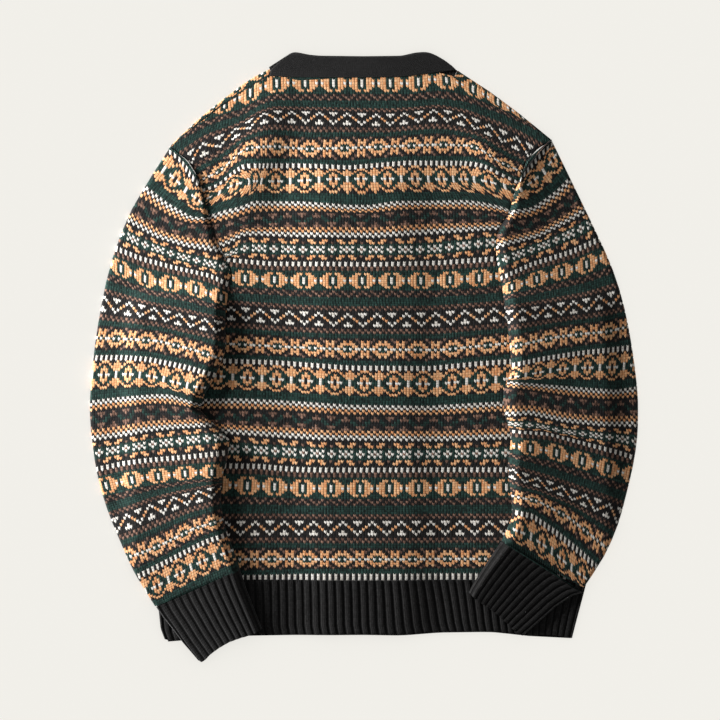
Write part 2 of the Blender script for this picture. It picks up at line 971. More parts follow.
@dataclass(frozen=True)
class Resin:
    """Cast polyester resin, turned and polished: dark and faintly clouded, with a soft gloss."""

    name: str = "cast polyester resin, polished"
    colour: str = "2B211A"
    cloud: str = "4A3626"
    cloud_size: float = 6.25 * MM
    cloud_detail: float = 3.0
    roughness: float = 0.32
    ior: float = 1.55

    def material(self) -> bpy.types.Material:
        """Makes the material.

        Returns:
            The material.
        """
        material, tree, shader = new_material(self.name)
        body = add_node(tree, "TexCoord", output="Object")
        clouds = {"Vector": body, "Scale": 1.0 / self.cloud_size, "Detail": self.cloud_detail}
        share = add_node(tree, "TexNoise", clouds)
        ends = {0: share, 6: linear(self.colour), 7: linear(self.cloud)}
        colour = add_node(tree, "Mix", ends, 2, data_type="RGBA")
        tree.links.new(colour, shader.inputs["Base Color"])
        shader.inputs["Roughness"].default_value = self.roughness
        shader.inputs["IOR"].default_value = self.ior
        return material


@dataclass(frozen=True)
class PaperFloor:
    """Matte warm white paper, pressed flat: one even tone with no shine."""

    name: str = "matte white paper"
    colour: str = "F3F1EB"

    def material(self) -> bpy.types.Material:
        """Makes the material.

        Returns:
            The material.
        """
        material, _tree, shader = new_material(self.name)
        shader.inputs["Base Color"].default_value = linear(self.colour)
        shader.inputs["Roughness"].default_value = 1.0
        shader.inputs["Specular IOR Level"].default_value = 0.0
        return material


# ---------------------------------------------------------------------------- traced rows

BODY_TRACES = (
    Trace(-4, 359.6, 2.92, ((150, 589), (600, 589))),
    Trace(0, 359.5, 2.92, ((150, 579.6), (600, 579.6))),
    Trace(1, 359.5, 2.92, ((245, 577), (262, 577), (320, 576), (470, 576))),
    Trace(8.5, 359.9, 2.92, ((240, 558.7), (285, 558.6), (350, 558.4), (487, 558.5))),
    Trace(21, 360.7, 2.92, ((230, 528), (262, 527.3), (480, 527.3))),
    Trace(
        38.5, 360.2, 2.92,
        ((230, 484.5), (265, 486), (303, 488), (371, 488), (502, 487)),
        ((-40, 248), (-30, 275), (-20, 303), (-10, 331.3), (10, 389.5)),
    ),
    Trace(
        46, 361.3, 2.90,
        ((230, 465.5), (260, 466), (285, 468.5), (300, 469.3), (345, 469.5), (502, 469.5)),
        ((-40, 248.5), (-30, 275.5), (-20, 303.5), (-10, 332.3)),
    ),
    Trace(
        52.5, 363.5, 2.90,
        ((235, 448.5), (262, 450), (290, 451.5), (320, 453), (358, 454), (460, 453.5),
         (505, 452.5)),
        ((-36, 261.7), (-26, 290), (-16, 317.8), (-6, 346.2)),
    ),
    Trace(59, 363.0, 2.91, ((235, 431.5), (262, 433.5), (320, 437), (440, 438.5), (500, 436.5))),
    Trace(65.5, 363.4, 2.92, ((235, 417), (290, 418.5), (340, 422.5), (450, 422.5), (480, 420.5))),
    Trace(
        72, 363.8, 2.92,
        ((215, 401), (240, 400.5), (290, 403), (350, 407), (430, 408), (470, 405.5), (498, 404)),
    ),
    Trace(
        82.5, 364.5, 2.92,
        ((235, 377), (291, 380), (349, 383), (435, 384), (463, 381.5), (505, 379)),
    ),
    Trace(
        89, 364.9, 2.92,
        ((226, 361), (275, 362.5), (350, 368), (430, 368.5), (480, 363.5), (505, 362)),
    ),
    Trace(
        96.5, 365.3, 2.92,
        ((232, 344), (290, 347), (335, 349), (440, 350), (480, 346), (500, 344)),
    ),
    Trace(
        109, 365.9, 2.92,
        ((230, 313), (290, 317.5), (349, 320.3), (430, 319.5), (478, 315.7), (503, 314)),
    ),
    Trace(126.5, 362.4, 2.92, ((232, 278), (303, 281), (430, 281), (477, 278.5), (490, 277))),
    Trace(
        134, 363.4, 2.92,
        ((238, 261), (270, 264), (340, 264.5), (375, 265), (440, 263), (490, 259.5)),
    ),
    Trace(
        140.5, 364.7, 2.92,
        ((205, 263), (225, 256.5), (245, 248), (305, 250), (420, 250), (440, 248.5), (475, 244.5)),
    ),
    Trace(
        147, 364.5, 2.92,
        ((205, 250), (228, 243), (243, 234), (258, 233.5), (300, 235), (375, 236), (420, 232.5),
         (460, 230)),
    ),
    Trace(
        153.5, 363.8, 2.92,
        ((205, 233), (228, 228), (246, 222), (285, 219), (380, 219), (425, 216), (490, 217)),
    ),
    Trace(
        160, 362.8, 2.92,
        ((198, 219), (209, 218), (225, 213), (240, 209.5), (246, 207.5), (252, 203.7), (300, 204),
         (350, 208), (371, 208), (395, 204), (465, 202.5), (480, 204), (500, 208), (512, 212.5)),
    ),
    Trace(
        170.5, 361.2, 2.92,
        ((200, 202), (219, 193.5), (233, 185.5), (248, 182), (290, 181.5), (340, 179.5),
         (473, 179.5), (488, 182), (503, 186), (520, 191.5)),
        ((-60, 205), (-50, 235), (-45, 251), (-35, 261), (-30, 276.2), (-25, 290.5), (-20, 305),
         (-10, 333.8), (10, 387.5), (20, 415), (30, 441.7), (35, 453.3), (45, 473.3), (50, 488.3),
         (60, 520)),
    ),
    Trace(
        177, 361.2, 2.92,
        ((205, 190), (218, 186), (231, 175), (243, 167), (299, 166), (349, 168.5), (407, 163.5),
         (462, 163.7), (473, 164.5), (485, 167), (496, 173), (506, 177.5), (517, 183)),
        ((-60, 204), (-50, 231), (-44, 243), (-42, 249), (-40, 256.7), (-36, 264), (-30, 276.3),
         (-20, 305), (10, 388), (20, 415.5), (30, 442), (40, 465.5), (50, 490.5), (60, 522)),
    ),
    Trace(
        184.5, 361.7, 2.92,
        ((203, 179.5), (218, 173), (226, 166.5), (239, 154), (247, 149), (275, 147), (308, 149.5),
         (363, 148), (440, 145), (470, 146), (482, 151), (494, 159.5), (504, 165), (520, 171.5)),
        ((-54, 220), (-42, 251), (-30, 277.5), (-18, 310), (-6, 345), (6, 378.3), (18, 411.7),
         (30, 443.5), (42, 474), (54, 505.5)),
    ),
    Trace(
        197, 365, 2.92,
        ((187, 161), (198, 152), (213, 145), (229, 137.5), (243, 129), (257, 120.5), (272, 116.5),
         (292, 117), (389, 120.5), (435, 115), (453, 117), (467, 121.5), (480, 126.7), (493, 132.7),
         (507, 139.3), (521, 146), (530, 152)),
        ((-56, 203), (-46, 236), (-36, 265), (-26, 292.5), (-16, 320), (-6, 347.5), (4, 376.7),
         (14, 404.2), (24, 433.7), (34, 461.7), (44, 489), (54, 516.7)),
    ),
    Trace(
        208.5, 363.2, 2.84,
        ((195, 130), (213, 121), (245, 112), (260, 103), (275, 98), (415, 98), (437, 95), (465, 99),
         (497, 110), (525, 123)),
    ),
    Trace(
        214.5, 362.0, 2.83,
        ((210, 112), (240, 98), (268, 86), (283, 83.5), (365, 84), (412, 84), (428, 80), (450, 80),
         (478, 92), (496, 102)),
    ),
    Trace(
        217.5, 362.0, 2.83,
        ((205, 107), (240, 90), (270, 76), (283, 76), (412, 76), (430, 72), (480, 84), (520, 106)),
    ),
    Trace(
        224.5, 362.0, 2.83,
        ((190, 102), (230, 79), (262, 60), (283, 60), (412, 60), (440, 58), (490, 70), (530, 92)),
    ),
)

LEFT_SLEEVE_TRACES = (
    Trace(66.5, 193, 2.6, ((165, 622), (193, 609), (250, 583))),
    Trace(73, 187, 2.6, ((157.5, 607), (185, 594.2), (241.3, 568.3))),
    Trace(82.5, 181, 2.6, ((147, 590), (158, 585), (181, 572), (204, 559), (233, 549))),
    Trace(89, 177, 2.58, ((138, 576), (165, 562), (195, 546), (209, 539), (225, 534))),
    Trace(96.5, 172, 2.56, ((130, 556), (150, 549), (168, 541), (195, 527), (222, 519))),
    Trace(109, 166.5, 2.55, ((118, 524), (132, 519), (154, 509), (179, 500), (212, 491))),
    Trace(
        126.5, 160, 2.7,
        ((104, 486), (125, 481), (145, 477), (185, 473), (203, 471), (224, 472)),
    ),
    Trace(134, 158, 2.8, ((98, 469), (124, 463), (145, 460), (190, 456), (226, 452))),
    Trace(140.5, 157, 2.75, ((97, 453), (125, 448), (150, 444), (200, 438), (226, 436))),
    Trace(147, 156, 2.65, ((94, 438), (125, 433.5), (150, 428.5), (175, 426), (229, 423))),
    Trace(153.5, 155, 2.55, ((98, 419), (126, 415), (150, 411), (180, 412), (215, 412))),
    Trace(160, 154, 2.5, ((92, 403), (115, 400), (155, 396), (172, 396), (196, 403))),
    Trace(170.5, 153.5, 2.45, ((94, 375), (131, 374), (153, 376), (192, 386), (212, 388))),
    Trace(177, 157, 2.5, ((95, 358), (120, 357.5), (148, 359), (187, 367), (216, 375))),
    Trace(184.5, 163, 2.55, ((97, 338), (128, 339), (160, 341), (196, 350), (220, 358))),
    Trace(197, 170.5, 2.6, ((107, 304), (132, 309), (158, 314), (183, 320), (215, 326))),
    Trace(214.5, 171.5, 2.63, ((115, 266), (150, 281), (188, 287), (225, 299))),
    Trace(222, 172, 2.65, ((117, 249), (142, 259), (175, 268), (211, 276), (227, 284))),
    Trace(228.5, 174, 2.7, ((122, 233), (140, 243), (178, 256), (218, 266), (226, 267))),
    Trace(235, 177, 2.75, ((129, 220), (157, 236), (186, 245), (219, 250))),
    Trace(241.5, 181, 2.8, ((138, 207), (170, 226), (192, 230), (215, 231))),
    Trace(248, 186, 2.9, ((147, 190), (168, 206), (192, 219), (207, 219))),
    Trace(258.5, 198, 3.0, ((165, 171), (174, 178), (188, 192), (203, 204))),
    Trace(
        265, 203, 3.0,
        ((171, 152.5), (180, 159), (187, 169), (191, 176.5), (197, 183), (207, 190)),
    ),
    Trace(
        267.5, 204, 3.0,
        ((169.9, 147.6), (179.3, 153.9), (187.7, 160.6), (197.9, 176.6), (207, 183), (215, 187)),
    ),
    Trace(272, 208, 3.0, ((174, 141), (184, 147), (193, 154), (204, 171), (213, 177), (221, 181))),
)

RIGHT_SLEEVE_TRACES = (
    Trace(66.5, 535, 2.6, ((485, 556), (535, 576), (590, 604))),
    Trace(73, 539, 2.6, ((500, 542), (530, 559), (560, 578.5), (582, 592))),
    Trace(82.5, 540, 2.6, ((508, 526), (528.5, 534), (551, 550), (573, 569), (583, 576))),
    Trace(89, 543, 2.58, ((514, 511), (530, 514), (554, 531), (580, 552), (593, 564))),
    Trace(96.5, 546, 2.56, ((512, 495), (535, 499), (567, 516), (583, 529), (603, 545))),
    Trace(109, 550, 2.55, ((515, 474), (544, 484), (571, 494), (606, 509), (618, 515))),
    Trace(126.5, 555, 2.7, ((518, 446), (548, 450), (580, 460), (600, 466), (625, 473))),
    Trace(134, 556, 2.75, ((515, 431), (546, 433), (583, 443), (612, 450.5), (632, 457))),
    Trace(140.5, 557, 2.72, ((505, 423), (535, 425), (562, 431), (612, 437), (634, 441))),
    Trace(147, 558, 2.65, ((505, 414), (528, 412), (565, 420), (600, 423.5), (636, 424))),
    Trace(153.5, 559, 2.55, ((505, 394), (535, 397), (570, 404), (600, 407), (632, 406))),
    Trace(160, 560, 2.5, ((505, 382), (535, 385), (575, 389), (615, 392), (635, 389))),
    Trace(170.5, 561, 2.5, ((512, 377), (545, 371), (570, 368), (617, 367), (633, 365))),
    Trace(177, 562, 2.52, ((512, 365), (540, 359), (580, 353), (600, 351), (629, 348))),
    Trace(184.5, 562, 2.55, ((510, 347), (550, 338), (575, 334.5), (605, 332), (622, 328))),
    Trace(197, 562, 2.6, ((506, 317), (548, 311), (588, 305), (613, 299))),
    Trace(214.5, 561, 2.62, ((502, 290), (548, 276), (583, 266), (604, 257))),
    Trace(222, 560, 2.65, ((500, 279), (530, 265), (572, 252), (598, 240))),
    Trace(228.5, 558, 2.7, ((500, 261), (540, 247), (577, 231), (592, 223))),
    Trace(235, 556, 2.75, ((498, 246), (538, 236), (567, 221), (582, 212))),
    Trace(241.5, 551, 2.8, ((500, 231), (536, 224), (563, 208), (576, 197))),
    Trace(248, 545, 2.9, ((505, 214), (533, 210), (557, 193), (568, 182))),
    Trace(258.5, 532, 3.0, ((503, 201), (515, 194), (530, 183.5), (543, 173), (552, 160))),
    Trace(
        265, 527, 3.0,
        ((505, 195), (514, 189), (521, 178.5), (530, 167), (540, 155.5), (550, 146)),
    ),
    Trace(
        267.5, 526, 3.0,
        ((500, 193), (512, 186.5), (519, 181), (526.9, 161.1), (537.9, 149.2), (551.5, 140.7)),
    ),
    Trace(272, 521, 3.0, ((494, 188), (506, 181), (513, 175), (521, 156), (533, 143), (548, 134))),
)

FRONT_TRACES = (
    Trace(-4, 364, 2.92, ((100, 588.8), (364, 588.4), (640, 588.8))),
    Trace(0, 364, 2.92, ((100, 579.6), (364, 579.2), (640, 579.6))),
    Trace(60, 364.5, 2.92, ((100, 441), (250, 440), (364, 442), (480, 440), (640, 441))),
    Trace(120, 364, 2.92, ((100, 302), (230, 304), (364, 302), (500, 303.5), (640, 302))),
    Trace(180, 363.5, 2.92, ((100, 165), (270, 163), (364, 164), (460, 162.5), (640, 165))),
    Trace(240, 364, 2.92, ((100, 26), (364, 24), (640, 26))),
)

BACK_CREASES = (
    Crease((276, 92), (240, 212), 34, 4.6),
    Crease((306, 130), (268, 230), 24, -1.2),
    Crease((472, 136), (506, 178), 26, 3.0),
    Crease((455, 120), (470, 200), 26, -0.9),
    Crease((312, 372), (470, 364), 42, 1.8),
    Crease((378, 446), (476, 458), 36, 1.6),
    Crease((250, 300), (330, 322), 34, 0.9),
    Crease((272, 430), (340, 470), 40, 1.8),
    Crease((216, 250), (222, 572), 66, 3.4),
    Crease((404, 250), (398, 340), 22, -0.9),
    Crease((392, 388), (396, 560), 20, -1.1),
    Crease((470, 480), (452, 560), 24, -1.0),
)
FRONT_CREASES = (
    Crease((286, 112), (236, 200), 26, 1.0),
    Crease((472, 136), (506, 178), 24, 0.9),
    Crease((250, 300), (330, 322), 32, 0.6),
    Crease((260, 470), (340, 488), 36, 0.6),
    Crease((378, 446), (476, 458), 32, 0.7),
)
LEFT_SLEEVE_CREASES = (
    Crease((166, 206), (196, 216), 22, 1.4),
    Crease((168, 386), (222, 402), 16, 2.2),
    Crease((182, 397), (232, 412), 7, -2.2),
    Crease((170, 452), (222, 444), 22, 1.4),
    Crease((120, 330), (160, 300), 34, 0.8),
)
RIGHT_SLEEVE_CREASES = (
    Crease((520, 350), (590, 356), 22, 1.4),
    Crease((500, 378), (566, 398), 8, -2.4),
    Crease((505, 368), (560, 384), 14, 1.6),
    Crease((510, 425), (566, 440), 22, 1.3),
    Crease((522, 492), (566, 512), 20, 1.2),
    Crease((500, 484), (530, 500), 7, -1.6),
)
LEFT_UNDER_CREASES = (
    Crease((130, 230), (190, 250), 26, 0.9),
    Crease((110, 360), (180, 372), 30, 1.0),
    Crease((112, 470), (190, 462), 24, 0.8),
)
RIGHT_UNDER_CREASES = (
    Crease((540, 240), (590, 220), 26, 0.9),
    Crease((540, 372), (620, 362), 30, 1.0),
    Crease((540, 470), (600, 490), 24, 0.8),
)


def over_fronts(points: np.ndarray) -> np.ndarray:
    """Height of the underside of the back's hem and neck band, which follow its creases."""
    return LAYERS.back(points) + relief(BACK_CREASES, points)


# ---------------------------------------------------------------------------- knitted pieces


@dataclass(frozen=True)
class Finish:
    """A material and the slot of the record that it is for."""

    material: bpy.types.Material
    slot: str


def hand_in(made: bpy.types.Object, finish: Finish, *nodes: str) -> None:
    """Dresses a finished piece, fastens it to the garment and hides the solids it stands for.

    Args:
        made: The piece.
        finish: What it is made of.
        nodes: Names of the solids.
    """
    made.data.materials.clear()
    made.data.materials.append(finish.material)
    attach(made, "root")
    if nodes:
        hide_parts(*nodes)
    low, high = corners_of(made)
    LOG.info("%s: %d faces, %.3f x %.3f x %.4f m", made.name, len(made.data.polygons), *(high - low))


def corners_of(made: bpy.types.Object) -> tuple[Vector, Vector]:
    """The lowest and the highest corner of an object's own box."""
    axes = list(zip(*made.bound_box))
    return Vector(min(axis) for axis in axes), Vector(max(axis) for axis in axes)


@dataclass
class Panel:
    """A flat panel: its right side in knitted stitches, its wrong side in long floats."""

    name: str
    field: KnitField
    outline: Outline
    span: tuple[int, int]  # its first and last row
    floor: Callable[[np.ndarray], np.ndarray]
    creases: tuple[Crease, ...]
    right_side_up: bool = True
    ceiling: tuple[tuple[float, float], ...] = ()  # a line that no stitch goes above, metres
    rounding: float = 0.7 * MM  # how far the edge of the right side is below its middle
    clearance: float = 0.3 * MM  # from the outline, within which the legs lie level
    coarse: int = 6  # half columns between two points of the wrong side
    chart: Chart = FAIR_ISLE

    def _under_ceiling(self, points: np.ndarray) -> np.ndarray:
        """Gathers the points above the ceiling on it, column by column.

        Args:
            points: Places, rows by columns by x and y.

        Returns:
            The places.
        """
        if not self.ceiling:
            return points
        line = np.array(self.ceiling)
        over = points[..., 1] - np.interp(points[..., 0], line[:, 0], line[:, 1])
        for column in np.flatnonzero((over > 0).any(axis=0)):
            first = int(np.argmax(over[:, column] > 0))
            if first == 0:
                continue
            below, above = over[first - 1, column], over[first, column]
            share = below / (below - above)
            low, high = points[first - 1, column], points[first, column]
            points[first:, column] = low + share * (high - low)
        return points

    def _right_side(self, rows: np.ndarray, odd: np.ndarray) -> tuple[np.ndarray, np.ndarray]:
        """Lays the stitches of the right side inside the outline.

        Args:
            rows: Row numbers.
            odd: For each half column, whether the legs rise there.

        Returns:
            Places, rows by half columns by x and y, and the half column that each one is from.
        """
        raised, dropped = self.field.lines(rows + LEG_SLANT), self.field.lines(rows - LEG_SLANT)
        index = np.arange(len(odd))
        places, taken = [], []
        for number, line in enumerate(self.field.lines(rows)):
            run = find_run(line, self.outline)
            at = np.clip(index, run.start, run.end)
            place = read_line(line, at)
            bent = np.where(odd[:, None], raised[number], dropped[number])
            free = (index > run.start + LEVEL_MARGIN) & (index < run.end - LEVEL_MARGIN)
            free &= self.outline.depth(bent) > self.clearance
            free &= 0 < number < len(rows) - 1
            place[free] = bent[free]
            places.append(place)
            taken.append(at)
        return self._under_ceiling(np.stack(places)), np.stack(taken)

    def _wrong_side(self, rows: np.ndarray, index: np.ndarray) -> np.ndarray:
        """Lays the floats of the wrong side inside the outline.

        Args:
            rows: Row numbers.
            index: The half columns that have points.

        Returns:
            Places, rows by half columns by x and y.
        """
        places = []
        for line in self.field.lines(rows):
            run = find_run(line, self.outline)
            places.append(read_line(line, np.clip(index, run.start, run.end)))
        return self._under_ceiling(np.stack(places))

    def _lift(self, points: np.ndarray, right_side: bool, edge: np.ndarray) -> np.ndarray:
        """Adds heights to places.

        Args:
            points: Places, x and y in the last axis.
            right_side: Whether they are on the knitted face.
            edge: True for the points on the rim.

        Returns:
            Places with x, y and z.
        """
        base = self.floor(points) + relief(self.creases, points)
        up = right_side == self.right_side_up
        inward = -1.0 if up else 1.0
        height = base + (WALL if up else 0.0) + np.where(edge, inward * self.rounding, 0.0)
        return np.concatenate([points, height[..., None]], axis=-1)

    def build(self) -> bpy.types.Object:
        """Makes the panel from its two sides.

        Returns:
            The panel's object.
        """
        first = self.field.first_column
        rows = np.arange(self.span[0], self.span[1] + 1)
        index = np.arange(len(self.field.halves))
        odd = (index + 2 * first) % 2 == 1
        flat, at = self._right_side(rows, odd)
        rim = (at != index) | (np.diff(at, axis=1, prepend=-1) == 0)
        rim |= np.diff(at, axis=1, append=len(index) + 1) == 0
        rim[[0, -1], :] = True
        right = self._lift(flat, True, rim)
        slant = rows[:, None] + np.where(odd, LEG_SLANT, -LEG_SLANT)
        cloth = ClothMesh(self.name)
        cloth.add_grid(
            right,
            pair_up(first + at / 2.0 + 0.5, slant),
            self.chart.yarns(rows[:-1], (index[:-1] + 2 * first + 1) // 2),
        )
        index = index[:: self.coarse]
        flat = self._wrong_side(rows, index)
        rim = np.zeros(flat.shape[:2], bool)
        rim[:, [0, -1]] = True
        rim[[0, -1], :] = True
        wrong = self._lift(flat, False, rim)
        index = np.concatenate([index[:1], index, index[-1:]])
        cloth.add_grid(
            np.concatenate([right[:, :1], wrong, right[:, -1:]], axis=1),
            pair_up(first + index / 2.0 + 0.25, rows[:, None] * 1.0),
            self.chart.yarns(rows[:-1], first + index[:-1] // 2),
        )
        cloth.weld()
        cloth.close()
        return cloth.finish()


@dataclass(frozen=True)
class SleeveLie:
    """How one sleeve lies: where its rows and creases are, and how it stands up."""

    side: Side
    traces: tuple[Trace, ...]
    creases: tuple[Crease, ...]
    under_creases: tuple[Crease, ...]
    crown: float  # how high it stands up along the inner fold
    flattened: float  # share of the crown that is lost beside the armhole
    open_from: int  # from this row up it is open towards the armhole


SLEEVES = (
    SleeveLie(
        Side.LEFT,
        LEFT_SLEEVE_TRACES,
        LEFT_SLEEVE_CREASES,
        LEFT_UNDER_CREASES,
        crown=9.4 * MM,
        flattened=0.6,
        open_from=219,
    ),
    SleeveLie(
        Side.RIGHT,
        RIGHT_SLEEVE_TRACES,
        RIGHT_SLEEVE_CREASES,
        RIGHT_UNDER_CREASES,
        crown=12.5 * MM,
        flattened=0.2,
        open_from=212,
    ),
)


@dataclass
class Tube:
    """A sleeve that lies flat: stitches over the top, round the outer fold and back below.

    Its half columns are counted from the inner fold, over the outer one and back to where the
    inner fold is again, whichever way the row runs in the photograph.
    """

    name: str
    lie: SleeveLie
    outline: Outline
    lid: float  # height on the picture that no stitch goes above
    floor: Callable[[np.ndarray], np.ndarray]
    columns: tuple[int, int] = (-42, 42)
    rows: tuple[int, int] = (73, 271)
    joined_rows: tuple[int, int] = (206, 226)  # over which it turns from a tube to the armhole
    joined_raise: float = 0.3 * MM  # how far it lies over the body's stitches at the armhole
    thick: float = 2 * WALL + GAP
    nose: float = 4.0 * MM  # from a fold to where the sleeve has its full thickness
    half_stitch: float = 1.6 * MM
    chart: Chart = FAIR_ISLE

    def __post_init__(self) -> None:
        """Lays out the sleeve's rows."""
        self.field = KnitField(self.lie.traces, *self.columns)

    def _folds(self, straight: np.ndarray, turn: int, shift: int) -> tuple[np.ndarray, np.ndarray]:
        """Finds the sleeve's two folds in each row.

        Args:
            straight: The rows' places.
            turn: 1 where half columns run from the inner fold to the outer one, else -1.
            shift: Number of the first half column of a row.

        Returns:
            The half columns of the inner and of the outer folds, in one column each.
        """
        runs = [find_run(line, self.outline) for line in straight]
        ends = turn * (np.array([(run.start, run.end) for run in runs]) + shift)
        ends.sort(axis=1)
        return ends[:, :1], ends[:, 1:]

    def _flat(
        self, rows: np.ndarray, straight: np.ndarray, source: np.ndarray, odd: np.ndarray,
        free: np.ndarray,
    ) -> np.ndarray:
        """Lays the stitches flat.

        Args:
            rows: Row numbers.
            straight: The rows' places.
            source: Which of a row's places each point is at, as fractions of the list.
            odd: For each half column, whether the legs rise there.
            free: Which points are away from the folds and the ends.

        Returns:
            Places, rows by half columns by x and y.
        """
        raised, dropped = self.field.lines(rows + LEG_SLANT), self.field.lines(rows - LEG_SLANT)
        points = np.empty(source.shape + (2,))
        for i in range(len(rows)):
            points[i] = read_line(straight[i], source[i])
            for lines, where in ((raised, odd), (dropped, ~odd)):
                chosen = free[i] & where
                points[i, chosen] = read_line(lines[i], source[i, chosen])
        points[..., 1] = np.minimum(points[..., 1], self.lid)
        return points

    def _heights(
        self, points: np.ndarray, rows: np.ndarray, away: np.ndarray, across: np.ndarray,
        below: np.ndarray,
    ) -> np.ndarray:
        """Works out how high each point is.

        Args:
            points: Places on the table.
            rows: Row numbers, in a column.
            away: Metres from the nearest fold.
            across: Shares of the way from the inner fold to the outer one.
            below: Which points are on the underside.

        Returns:
            Metres over the table.
        """
        swell = np.sqrt(1 - (1 - np.clip(away / self.nose, 0, 1)) ** 2)
        joined = smoothstep(rows, *self.joined_rows)
        base = self.floor(points) * (1 - joined) + np.maximum(relief(BACK_CREASES, points), 0.0)
        top = self.thick * (0.5 + 0.5 * swell)
        puff = self.lie.crown * puff_share(across) * (1 - self.lie.flattened * joined)
        top = top + swell * (puff + relief(self.lie.creases, points)) + self.joined_raise * joined
        under = self.thick * (0.5 - 0.5 * swell) + swell * relief(self.lie.under_creases, points)
        return base + np.where(below, under, top)

    def build(self) -> bpy.types.Object:
        """Makes the sleeve.

        Returns:
            The sleeve's object.
        """
        turn = -1 if self.lie.side is Side.LEFT else 1
        shift = 2 * self.field.first_column
        rows = np.arange(self.rows[0], self.rows[1] + 1)
        straight = self.field.lines(rows)
        inner, outer = self._folds(straight, turn, shift)
        last = 2 * outer - inner
        grid = np.arange(math.floor(inner.min()), math.ceil(last.max()) + 1)
        odd = grid % 2 != 0
        at = np.clip(grid, inner, last)
        at = np.where(np.abs(at - outer) < 0.5, outer, at)
        below = at > outer
        folded = np.where(below, 2 * outer - at, at)
        free = (at > inner + LEVEL_MARGIN) & (at < last - LEVEL_MARGIN)
        free &= np.abs(at - outer) > LEVEL_MARGIN
        free[[0, -1], :] = False
        points = self._flat(rows, straight, turn * folded - shift, odd, free)
        column = rows[:, None]
        seam = np.where(column >= self.lie.open_from, np.inf, np.minimum(at - inner, last - at))
        away = np.maximum(np.minimum(np.abs(at - outer), seam), 0.0) * self.half_stitch
        across = np.clip((folded - inner) / np.maximum(outer - inner, 1e-6), 0, 1)
        height = self._heights(points, column, away, across, below)
        cloth = ClothMesh(self.name)
        cloth.add_grid(
            np.concatenate([points, height[..., None]], axis=-1),
            pair_up(at / 2.0 + 0.5, column + np.where(odd, LEG_SLANT, -LEG_SLANT)),
            self.chart.yarns(rows[:-1], turn * ((grid[:-1] + 1) // 2)),
        )
        cloth.weld()
        return cloth.finish()


@dataclass(frozen=True)
class Patch:
    """Four edges on the photograph and the smooth sheet between them.

    The seam edge and the free edge go from left to right, and the other two from the seam to the
    free edge. lean pairs a share along the seam with the share along the free edge that its rib
    comes out at.
    """

    seam: tuple[Pixel, ...]
    free: tuple[Pixel, ...]
    left: tuple[Pixel, ...]
    right: tuple[Pixel, ...]
    lean: tuple[tuple[float, float], ...] = ((0.0, 0.0), (1.0, 1.0))
    edge_points: int = 161  # that an edge is spaced out in before its corners are rounded
    rounding: int = 14  # passes that round them

    def _edge(self, points: Sequence[Pixel], share: np.ndarray) -> np.ndarray:
        """Places along one edge.

        Args:
            points: The edge's pixels.
            share: Shares of its length.

        Returns:
            The places in metres, with the edge's corners rounded.
        """
        line = photo_to_frame(np.array(points, float))
        steps = np.linalg.norm(np.diff(line, axis=0), axis=1)
        along = np.concatenate([[0.0], np.cumsum(steps)]) / steps.sum()
        even = np.linspace(0, 1, self.edge_points)
        smooth = np.column_stack([np.interp(even, along, line[:, axis]) for axis in (0, 1)])
        smooth = even_out(smooth, self.rounding)
        return np.stack([np.interp(share, even, smooth[:, axis]) for axis in (0, 1)], axis=-1)

    def spread(self, across: np.ndarray, down: np.ndarray) -> np.ndarray:
        """Places on the sheet.

        Args:
            across: Shares of the way from the left edge to the right one.
            down: Shares of the way from the seam to the free edge.

        Returns:
            The places in metres.
        """
        knots = np.array(self.lean)
        leant = np.interp(across, knots[:, 0], knots[:, 1])
        seam, free = self._edge(self.seam, across), self._edge(self.free, leant)
        left, right = self._edge(self.left, down), self._edge(self.right, down)
        u, v = across[..., None], down[..., None]
        ends = [(edge[0], edge[-1]) for edge in (self.seam, self.free)]
        (seam_left, seam_right), (free_left, free_right) = photo_to_frame(np.array(ends))
        plain_left = (1 - v) * seam_left + v * free_left
        plain_right = (1 - v) * seam_right + v * free_right
        sides = (1 - u) * (left - plain_left) + u * (right - plain_right)
        return (1 - v) * seam + v * free + sides


